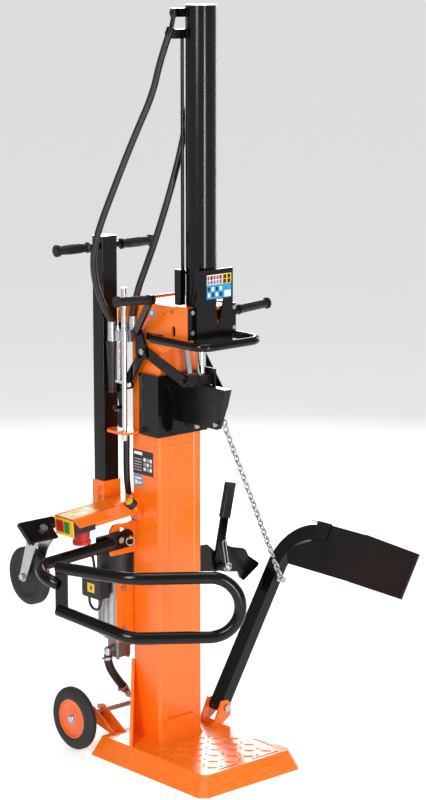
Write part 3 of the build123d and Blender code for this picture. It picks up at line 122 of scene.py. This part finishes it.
def gloss_paint(name, main, shade, dust, roughness, peel_mm=3.0, dust_height=0.25, shine=0.5, coat=0.2):
    """Sprayed enamel on sheet steel: slight orange peel, cloudy tone, handling marks and some dust low down."""
    material, tree, place = new_material(name)
    cloud = add(tree, "ShaderNodeTexNoise", {"Vector": place, "Scale": per_metre(140), "Detail": 3.0})
    tone = add(tree, "ShaderNodeMix", {"Factor": cloud.outputs["Fac"], "A": linear(main), "B": linear(shade)},
               data_type="RGBA")
    height = add(tree, "ShaderNodeSeparateXYZ", {"Vector": place}).outputs["Z"]
    low = add(tree, "ShaderNodeMapRange", {"Value": height, "From Min": 0.0, "From Max": dust_height,
                                           "To Min": 0.22, "To Max": 0.02})
    grit = add(tree, "ShaderNodeTexNoise", {"Vector": place, "Scale": per_metre(22), "Detail": 8.0,
                                            "Roughness": 0.7})
    patches = add(tree, "ShaderNodeMapRange", {"Value": grit.outputs["Fac"], "From Min": 0.48, "From Max": 0.72})
    amount = add(tree, "ShaderNodeMath", {0: patches.outputs[0], 1: low.outputs[0]}, operation="MULTIPLY")
    colour = add(tree, "ShaderNodeMix", {"Factor": amount.outputs[0], "A": tone.outputs["Result"],
                                         "B": linear(dust)}, data_type="RGBA")
    smear = add(tree, "ShaderNodeTexNoise", {"Vector": place, "Scale": per_metre(45), "Detail": 5.0})
    rough = add(tree, "ShaderNodeMapRange", {"Value": smear.outputs["Fac"], "From Min": 0.3, "From Max": 0.7,
                                             "To Min": roughness * 0.8, "To Max": roughness * 1.35})
    skin = add(tree, "ShaderNodeTexNoise", {"Vector": place, "Scale": per_metre(peel_mm), "Detail": 2.0})
    bump = add(tree, "ShaderNodeBump", {"Height": skin.outputs["Fac"], "Distance": 0.00006, "Strength": 0.6})
    finish_material(tree, {"Base Color": colour.outputs["Result"], "Roughness": rough.outputs[0],
                           "Normal": bump.outputs[0], "IOR": 1.5, "Specular IOR Level": shine, "Coat Weight": coat,
                           "Coat Roughness": 0.06})
    return material


def bare_metal(name, main, shade, roughness, grain_mm, stretch=(1, 1, 1), dents=0.00003):
    """Metal with its own finish: fine grain drawn along the part, and clouded brightness."""
    material, tree, place = new_material(name)
    grain_place = add(tree, "ShaderNodeMapping", {"Vector": place, "Scale": stretch}).outputs[0]
    cloud = add(tree, "ShaderNodeTexNoise", {"Vector": place, "Scale": per_metre(30), "Detail": 5.0})
    tone = add(tree, "ShaderNodeMix", {"Factor": cloud.outputs["Fac"], "A": linear(main), "B": linear(shade)},
               data_type="RGBA")
    grain = add(tree, "ShaderNodeTexNoise", {"Vector": grain_place, "Scale": per_metre(grain_mm), "Detail": 4.0})
    rough = add(tree, "ShaderNodeMapRange", {"Value": grain.outputs["Fac"], "From Min": 0.3, "From Max": 0.7,
                                             "To Min": roughness * 0.75, "To Max": roughness * 1.4})
    bump = add(tree, "ShaderNodeBump", {"Height": grain.outputs["Fac"], "Distance": dents, "Strength": 0.5})
    finish_material(tree, {"Base Color": tone.outputs["Result"], "Metallic": 1.0, "Roughness": rough.outputs[0],
                           "Normal": bump.outputs[0]})
    return material


def moulded(name, main, shade, roughness, grain_mm, depth=0.00008, ior=1.5):
    """Moulded rubber or plastic: fine mould grain, faint bloom and scuffs."""
    material, tree, place = new_material(name)
    bloom = add(tree, "ShaderNodeTexNoise", {"Vector": place, "Scale": per_metre(35), "Detail": 6.0,
                                             "Roughness": 0.65})
    cover = add(tree, "ShaderNodeMapRange", {"Value": bloom.outputs["Fac"], "From Min": 0.42, "From Max": 0.75})
    tone = add(tree, "ShaderNodeMix", {"Factor": cover.outputs[0], "A": linear(main), "B": linear(shade)},
               data_type="RGBA")
    rough = add(tree, "ShaderNodeMapRange", {"Value": bloom.outputs["Fac"], "From Min": 0.3, "From Max": 0.7,
                                             "To Min": roughness * 0.85, "To Max": min(1.0, roughness * 1.25)})
    grain = add(tree, "ShaderNodeTexVoronoi", {"Vector": place, "Scale": per_metre(grain_mm)})
    bump = add(tree, "ShaderNodeBump", {"Height": grain.outputs["Distance"], "Distance": depth, "Strength": 0.5})
    finish_material(tree, {"Base Color": tone.outputs["Result"], "Roughness": rough.outputs[0],
                           "Normal": bump.outputs[0], "IOR": ior})
    return material


# Powder-bright orange enamel over folded and welded sheet; it looks wet, with faint peel.
orange_enamel = gloss_paint("orange_enamel", "#F7760F", "#F06A0C", "#D89A66", 0.27)
orange_disc = gloss_paint("orange_disc_enamel", "#EE6410", "#E2590C", "#B8845C", 0.34)
# Black gloss enamel on tube and plate; deep, with sharp window-like reflections.
black_enamel = gloss_paint("black_enamel", "#050506", "#09090A", "#2E2C2A", 0.17, dust_height=0.3,
                           shine=0.3, coat=0.0)
# The same black, scuffed by handling and by logs.
worn_black = gloss_paint("scuffed_black_enamel", "#0B0B0C", "#141415", "#4A4846", 0.32, peel_mm=5.0,
                         dust_height=0.8, shine=0.3, coat=0.0)
# Hard chrome plate, ground and polished: a mirror with hair-fine turning marks.
hard_chrome = bare_metal("hard_chrome", "#E4E5E7", "#D2D4D7", 0.09, 1.5, stretch=(1, 1, 0.1), dents=0.00001)
# Bright zinc plate: bluish silver, a little cloudy.
zinc_plate = bare_metal("zinc_plate", "#C9CCCF", "#A9ACB0", 0.27, 2.0)
# Extruded aluminium motor shell, satin, with drawing lines along Z.
motor_alloy = bare_metal("extruded_aluminium", "#C3C5C7", "#A7A9AC", 0.38, 2.0, stretch=(1, 1, 0.05))
# Cast aluminium pump body: dull, pebbled by the mould.
cast_alloy = bare_metal("cast_aluminium", "#8E8F91", "#747577", 0.5, 1.5, dents=0.00012)
# Extruded synthetic rubber hose cover: satin black with a fine cloth imprint, drawn at 2 mm.
hose_rubber = moulded("hose_rubber", "#0A0A0B", "#141415", 0.38, 2.0)
# Satin moulded rubber of the grips.
grip_rubber = moulded("grip_rubber", "#0B0B0C", "#161617", 0.42, 1.6)
# Solid tyre rubber: matt, greyed with bloom.
tyre_rubber = moulded("tyre_rubber", "#19191A", "#2B2A29", 0.7, 3.0, depth=0.0002)
# Black PVC cable sheath: smooth and soft.
cable_sheath = moulded("pvc_sheath", "#141415", "#1C1C1D", 0.38, 1.2, depth=0.00003)
# ABS covers with a spark-eroded texture, drawn at 1.5 mm.
black_abs = moulded("black_abs", "#151516", "#1F1F20", 0.5, 1.5)
yellow_abs = moulded("yellow_abs", "#F1B80E", "#E2A90C", 0.36, 1.5)
red_abs = moulded("red_abs", "#C5190F", "#A8140C", 0.33, 1.5, depth=0.00004)
green_abs = moulded("green_abs", "#12883A", "#0E7430", 0.33, 1.5, depth=0.00004)
# Acetal wear pads.
wear_pad = moulded("acetal_pad", "#2A2A2B", "#343435", 0.5, 1.5)
# Printed vinyl films: smooth and faintly glossy.
film = {key: moulded(f"vinyl_{key}", main, shade, 0.3, 1.0, depth=0.00001) for key, main, shade in (
    ("white", "#E9EAEA", "#DEDFDF"), ("cyan", "#1E9AD0", "#1A8EC2"), ("yellow", "#F3C613", "#E9BC10"),
    ("red", "#D2231B", "#C01E17"), ("black", "#1B1B1C", "#232324"), ("grey", "#9A9C9E", "#8E9092"),
    ("pale_yellow", "#EFD77A", "#E6CC6C"))}

NODE_FINISH = {
    orange_enamel: ["base_plate", "column", "frame_brackets", "head_plates", "valve_bracket", "support_arm",
                    "handle_socket"],
    black_enamel: ["cylinder_tube", "cylinder_bracket", "upper_guard_ring", "port_blocks", "pipe_and_manifold",
                   "lever_left", "lever_right", "guard_loop", "lifter_arm", "handle_tube", "caster_bracket",
                   "lock_bracket", "lock_lever", "valve_link", "carriage"],
    worn_black: ["wedge", "lifter_platform"],
    hard_chrome: ["piston_rod", "valve_rods"],
    zinc_plate: ["frame_hardware", "wedge_fittings", "chain_links", "chain_hook", "guard_ring_pin", "caster_fork",
                 "hose_fittings", "valve_block"],
    motor_alloy: ["motor_case"],
    cast_alloy: ["pump_body", "pump_gear", "motor_rotor"],
    hose_rubber: ["hose_suction"],
    grip_rubber: ["lever_left_grip", "lever_right_grip", "handle_grips", "lock_grip", "valve_boot"],
    tyre_rubber: ["wheel_left", "wheel_right", "caster_wheel"],
    black_abs: ["motor_covers", "switch_box", "clamp_knob"],
    wear_pad: ["slide_pads"],
    red_abs: ["stop_button", "plug_inlet"],
    green_abs: ["start_button"],
}
for finish, names in NODE_FINISH.items():
    for name in names:
        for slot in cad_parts[name].material_slots:
            slot.material = finish


# ------------------------------------------------------------------ hoses and leads
HOSE_D, CABLE_D = 0.021, 0.009
ROUTES = {
    "hose_one": (HOSE_D, hose_rubber, [
        (-80, -122, 2334), (-97, -92, 2240), (-104, -62, 2130), (-140, -22, 2010), (-182, 22, 1860),
        (-226, 70, 1690), (-224, 88, 1590), (-188, 97, 1492), (-140, 100.5, 1418)]),
    "hose_two": (HOSE_D, hose_rubber, [
        (25, -99.5, 2306), (22, -98, 2206), (10, -96, 2085), (-16, -90, 1955), (-48, -68, 1812),
        (-72, -34, 1680), (-90, -6, 1590), (-107, 16, 1515), (-110.5, 33, 1440)]),
    "hose_pressure": (HOSE_D, hose_rubber, [
        (-77, 106, 1052), (-78, 107, 975), (-77, 106, 885), (-58, 108, 795), (-20, 112, 712),
        (-8, 116, 610), (-8, 122, 500), (-11, 133, 425), (-20, 146, 356)]),
    "lead_switch": (CABLE_D, cable_sheath, [
        (-286, 40, 791), (-284, 46, 768), (-272, 62, 742), (-250, 84, 712), (-222, 112, 682), (-194, 136, 652),
        (-181, 146, 612)]),
    "lead_loop": (CABLE_D, cable_sheath, [
        (-180, 176, 516), (-180, 176, 502), (-180, 170, 488), (-180, 157, 479), (-180, 139, 478), (-180, 126, 486),
        (-180, 119, 501), (-180, 118.5, 516)]),
}


def run_cord(name):
    """One smooth hose or lead along its route."""
    diameter, finish, route = ROUTES[name]
    data = bpy.data.curves.new(f"{name}_run", "CURVE")
    data.dimensions, data.bevel_depth, data.bevel_resolution, data.resolution_u = "3D", diameter / 2, 5, 14
    data.use_fill_caps = True
    spline = data.splines.new("NURBS")
    spline.points.add(len(route) - 1)
    for point, place in zip(spline.points, route):
        point.co = (*[c * MM for c in place], 1.0)
    spline.order_u = 3
    spline.use_endpoint_u = True
    cord = bpy.data.objects.new(f"{name}_run", data)
    bpy.context.collection.objects.link(cord)
    cord.data.materials.append(finish)
    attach(cord, FIXED)
    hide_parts(name)


for cord_name in ROUTES:
    run_cord(cord_name)


# ------------------------------------------------------------------ small makers
def keep_piece(name, shape, body, slot, *finishes, smooth=35):
    """Turns a finished bmesh into a piece that rides on a body; edges sharper than smooth degrees stay crisp."""
    bmesh.ops.remove_doubles(shape, verts=shape.verts, dist=0.00001)
    bmesh.ops.recalc_face_normals(shape, faces=shape.faces)
    mesh = bpy.data.meshes.new(name)
    shape.to_mesh(mesh)
    shape.free()
    for finish in finishes:
        mesh.materials.append(finish)
    piece = bpy.data.objects.new(name, mesh)
    bpy.context.collection.objects.link(piece)
    for polygon in mesh.polygons:
        polygon.use_smooth = smooth > 0
    mesh.set_sharp_from_angle(angle=radians(smooth))
    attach(piece, body)
    return piece


def across_x(centre):
    """Places a shape turned about its own Z so that it turns about X at centre (mm)."""
    return Matrix.Translation([c * MM for c in centre]) @ Matrix.Rotation(pi / 2, 4, "Y")


def turned(profile, steps=72):
    """Spins a closed profile of (radius, height) in mm about Z."""
    shape = bmesh.new()
    corners = [shape.verts.new((r * MM, 0, h * MM)) for r, h in profile]
    edges = [shape.edges.new((corners[i - 1], corners[i])) for i in range(len(corners))]
    bmesh.ops.spin(shape, geom=corners + edges, axis=(0, 0, 1), cent=(0, 0, 0), steps=steps, angle=2 * pi,
                   use_merge=True, use_duplicate=False)
    return shape


def place_shape(shape, matrix):
    """Moves a finished shape to its place and hands it on."""
    bmesh.ops.transform(shape, matrix=matrix, verts=shape.verts)
    return shape


# ------------------------------------------------------------------ transport wheels
WHEEL_X, WHEEL_Y, AXLE_Z = 222.0, 206.0, 107.0
TYRE = [(64.5, 14), (74, 17), (88, 16.6), (96, 14), (101, 9.5), (103.4, 5), (103.4, 3), (102, 2.2), (102, -2.2),
        (103.4, -3), (103.4, -5), (101, -9.5), (96, -14), (88, -16.6), (74, -17), (64.5, -14)]
DISC = [(64.4, 14), (62, 14.6), (60, 13.8), (59.4, 9.5), (55, 7.4), (40, 5.4), (26, 8.6), (20, 10.4), (10.1, 10.4),
        (10.1, 8.6), (19, 8.4), (25, 6.4), (40, 3.2), (57, 5.2), (58, -13), (60, -14.2), (64.4, -14)]
HUB_CAP = [(0.05, 21.0), (7, 20.6), (11, 19.4), (13.6, 17), (14, 12), (17, 11.2), (17, 10.5), (0.05, 10.5)]


def transport_wheel(side, body):
    """Solid tyre on a pressed orange disc."""
    here = across_x((side * WHEEL_X, WHEEL_Y, AXLE_Z))
    if side < 0:
        here = here @ Matrix.Rotation(pi, 4, "X")
    tyre = keep_piece(f"{body}_tyre", place_shape(turned(TYRE, 96), here), body, "tyre_rubber", tyre_rubber)
    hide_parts(body)
    keep_piece(f"{body}_disc", place_shape(turned(DISC, 72), here), body, "wheel_paint", orange_disc)
    keep_piece(f"{body}_cap", place_shape(turned(HUB_CAP, 40), here), FIXED, "zinc", zinc_plate, smooth=50)


transport_wheel(-1, "wheel_left")
transport_wheel(1, "wheel_right")


# ------------------------------------------------------------------ labels
def label(name, body, origin, across, upward, blocks, thickness=0.3):
    """Thin film with plain colour blocks; each block is (x, y, width, height, finish) in mm."""
    across, upward = Vector(across).normalized(), Vector(upward).normalized()
    outward = across.cross(upward)
    finishes = list(dict.fromkeys(block[4] for block in blocks))
    shape = bmesh.new()
    for layer, (x, y, width, height, finish) in enumerate(blocks):
        lift = thickness * (0.4 + 0.6 * layer / len(blocks))
        middle = Vector(origin) + across * (x + width / 2) + upward * (y + height / 2) + outward * lift / 2
        turn = Matrix((across, upward, outward)).transposed().to_4x4()
        size = Matrix.Diagonal((width * MM, height * MM, lift * MM, 1))
        made = bmesh.ops.create_cube(shape, size=1.0, matrix=Matrix.Translation(middle * MM) @ turn @ size)
        faces = {face for corner in made["verts"] for face in corner.link_faces}
        for face in faces:
            face.material_index = finishes.index(finish)
    return keep_piece(name, shape, body, "black_plastic", *[film[key] for key in finishes], smooth=1)


def block_rows(x, y, columns, rows, width, height, step_x, step_y, finishes):
    """A small grid of colour blocks that takes the finishes in turn."""
    return [(x + step_x * i, y + step_y * j, width, height, finishes[(i + j) % len(finishes)])
            for j in range(rows) for i in range(columns)]


low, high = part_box("cylinder_bracket")
bracket_front, bracket_right, bracket_top = low.y / MM, high.x / MM, high.z / MM
label("bracket_label", FIXED, (bracket_right - 132, bracket_front - 0.05, bracket_top - 92),
      (1, 0, 0), (0, 0, 1),
      [(0, 0, 104, 78, "black"), (2, 2, 100, 42, "cyan"), (2, 45, 64, 31, "white"), (67, 45, 35, 31, "yellow"),
       (74, 4, 26, 20, "white")]
      + block_rows(4, 61, 5, 1, 9, 12, 12.4, 0, ["red", "black", "red"])
      + block_rows(4, 47, 5, 1, 9, 12, 12.4, 0, ["cyan", "red", "cyan"])
      + block_rows(69, 61, 2, 1, 12, 12, 17, 0, ["black"]) + block_rows(69, 47, 2, 1, 12, 12, 17, 0, ["black"])
      + block_rows(6, 8, 4, 2, 10, 12, 16, 18, ["white", "black"]))

left_face = -89.05                   # just outside the left face of the column
label("rating_label", FIXED, (left_face, 61, 932), (0, -1, 0), (0, 0, 1),
      [(0, 0, 100, 78, "black"), (6, 62, 40, 10, "white")]
      + block_rows(6, 10, 1, 5, 36, 4, 0, 9, ["grey"])
      + block_rows(52, 14, 3, 3, 11, 11, 15, 15, ["white", "grey"]))
label("column_notice", FIXED, (left_face, 57, 892), (0, -1, 0), (0, 0, 1),
      [(0, 0, 42, 36, "cyan"), (5, 5, 14, 14, "white"), (23, 8, 14, 8, "white"), (5, 23, 32, 6, "white")])
label("head_notice", FIXED, (-97.05, -32, 1446), (0, -1, 0), (0, 0, 1),
      [(0, 0, 22, 22, "cyan"), (5, 5, 12, 12, "white")])
label("terminal_notice", FIXED, (-200.05, 160, 540), (0, -1, 0), (0, 0, 1), [(0, 0, 36, 30, "yellow"),
      (14, 8, 8, 14, "black")])

# ------------------------------------------------------------------ knob face
KNOB_HEAD = (-151.6, 4.0, 856.6)
FACE = [(0.05, 1.2), (11, 1.2), (13.4, 0.6), (14, -0.4), (14, -2), (0.05, -2)]
knob_turn = Vector((-1, 0, 1)).to_track_quat("Z", "Y").to_matrix().to_4x4()
knob_place = Matrix.Translation(Vector(KNOB_HEAD) * MM + Vector((-1, 0, 1)).normalized() * 0.0024) @ knob_turn
keep_piece("knob_face", place_shape(turned(FACE, 8), knob_place), "clamp_knob", "knob_plastic", yellow_abs,
           smooth=20)


# ------------------------------------------------------------------ switch frame and rain hood film
DROOP = Matrix.Translation((-0.095, 0, 0.851)) @ Matrix.Rotation(radians(-4.2), 4, "Y") @ Matrix.Translation(
    (0.095, 0, -0.851))


def switch_frame():
    """Yellow moulded surround with two square windows for the buttons."""
    shape = bmesh.new()
    bars = [((-0.6, 18.5), (798.5, 853)), ((44.5, 47.5), (808, 846)), ((84.5, 88.3), (798.5, 853)),
            ((18.5, 84.5), (798.5, 808)), ((18.5, 84.5), (846, 853))]
    for (y0, y1), (z0, z1) in bars:
        size = Matrix.Diagonal((3.0 * MM, (y1 - y0) * MM, (z1 - z0) * MM, 1))
        middle = Matrix.Translation((-382.4 * MM, (y0 + y1) / 2 * MM, (z0 + z1) / 2 * MM))
        bmesh.ops.create_cube(shape, size=1.0, matrix=middle @ size)
    bmesh.ops.bevel(shape, geom=shape.edges[:], offset=0.6 * MM, segments=2, profile=0.5, affect="EDGES",
                    material=-1)
    return keep_piece("switch_frame", place_shape(shape, DROOP), FIXED, "black_plastic", yellow_abs)


switch_frame()
hood = DROOP @ Vector((-378 * MM, 12 * MM, 858.05 * MM)) / MM
slope = DROOP.to_3x3() @ Vector((1, 0, 0))
label("hood_notice", FIXED, hood, slope, (0, 1, 0),
      [(0, 0, 112, 66, "pale_yellow")] + block_rows(6, 8, 3, 2, 28, 22, 35, 28, ["yellow", "white"])
      + block_rows(10, 13, 3, 2, 18, 3, 35, 28, ["grey"]) + block_rows(10, 21, 3, 2, 12, 3, 35, 28, ["grey"]))


# ------------------------------------------------------------------ welds
def weld(name, body, slot, start, end, finish, leg=3.2):
    """Stacked weld bead between two points in mm: a ring drawn along the joint, swelling at every ripple."""
    tip, ripple = 0.8, 2.2
    start, end = Vector(start), Vector(end)
    run = (end - start).normalized()
    steps = max(8, int((end - start).length / ripple))
    shape = bmesh.new()
    turn = run.to_track_quat("Z", "Y").to_matrix().to_4x4()
    ring = bmesh.ops.create_circle(shape, segments=8, radius=tip * MM,
                                   matrix=Matrix.Translation(start * MM) @ turn)["verts"]
    edges = list({edge for corner in ring for edge in corner.link_edges})
    radius = tip
    for step in range(1, steps + 1):
        made = bmesh.ops.extrude_edge_only(shape, edges=edges)["geom"]
        ring = [item for item in made if isinstance(item, bmesh.types.BMVert)]
        edges = [item for item in made if isinstance(item, bmesh.types.BMEdge)]
        wanted = tip if step == steps else leg * (1.0 if step % 2 else 0.82)
        here = start + (end - start) * (step / steps)
        middle = sum((corner.co for corner in ring), Vector()) / len(ring)
        for corner in ring:
            corner.co = here * MM + (corner.co - middle) * (wanted / radius)
        radius = wanted
    bmesh.ops.holes_fill(shape, edges=[edge for edge in shape.edges if edge.is_boundary])
    return keep_piece(name, shape, body, slot, finish, smooth=60)


for mark, (start, end) in enumerate([
        ((-89, -66, 64), (-89, 66, 64)), ((89, -66, 64), (89, 66, 64)), ((-89, -66, 64), (89, -66, 64)),
        ((-90, 54, 676), (-90, 54, 774)), ((-90, 24, 786), (-90, 60, 786)), ((-97, 30, 806.5), (-97, 80, 806.5)),
        ((-89, 18, 1066), (-89, 62, 1066))]):
    weld(f"frame_weld_{mark}", FIXED, "orange_paint", start, end, orange_enamel)
for mark, (start, end) in enumerate([
        ((-103, -96, 1383), (-103, -74, 1383)), ((103, -96, 1383), (103, -74, 1383))]):
    weld(f"ring_weld_{mark}", FIXED, "black_paint", start, end, black_enamel)


# ------------------------------------------------------------------ floor and sky
def lay_floor():
    """Plain pale floor and an even pale surround."""
    paper, tree, place = new_material("studio_paper")
    mottle = add(tree, "ShaderNodeTexNoise", {"Vector": place, "Scale": 3.0})
    tone = add(tree, "ShaderNodeMix", {"Factor": mottle.outputs["Fac"], "A": linear("#F4F4F3"),
                                       "B": linear("#EFEFEE")}, data_type="RGBA")
    finish_material(tree, {"Base Color": tone.outputs["Result"], "Roughness": 0.8,
                           "Emission Color": linear("#FFFFFF"), "Emission Strength": 0.42})
    shape = bmesh.new()
    bmesh.ops.create_grid(shape, x_segments=2, y_segments=2, size=150.0)
    mesh = bpy.data.meshes.new("floor")
    shape.to_mesh(mesh)
    shape.free()
    mesh.materials.append(paper)
    floor = bpy.data.objects.new("floor", mesh)
    bpy.context.collection.objects.link(floor)
    world = bpy.data.worlds.new("pale_studio")
    bpy.context.scene.world = world
    world.use_nodes = True
    background = world.node_tree.nodes["Background"]
    background.inputs["Color"].default_value = linear("#F7F8FA")
    # The surround reads as white, but gives less light, so that black paint stays deep.
    direct = add(world.node_tree, "ShaderNodeLightPath").outputs["Is Camera Ray"]
    strength = add(world.node_tree, "ShaderNodeMapRange", {"Value": direct, "To Min": 0.36, "To Max": 1.0})
    world.node_tree.links.new(strength.outputs[0], background.inputs["Strength"])


lay_floor()
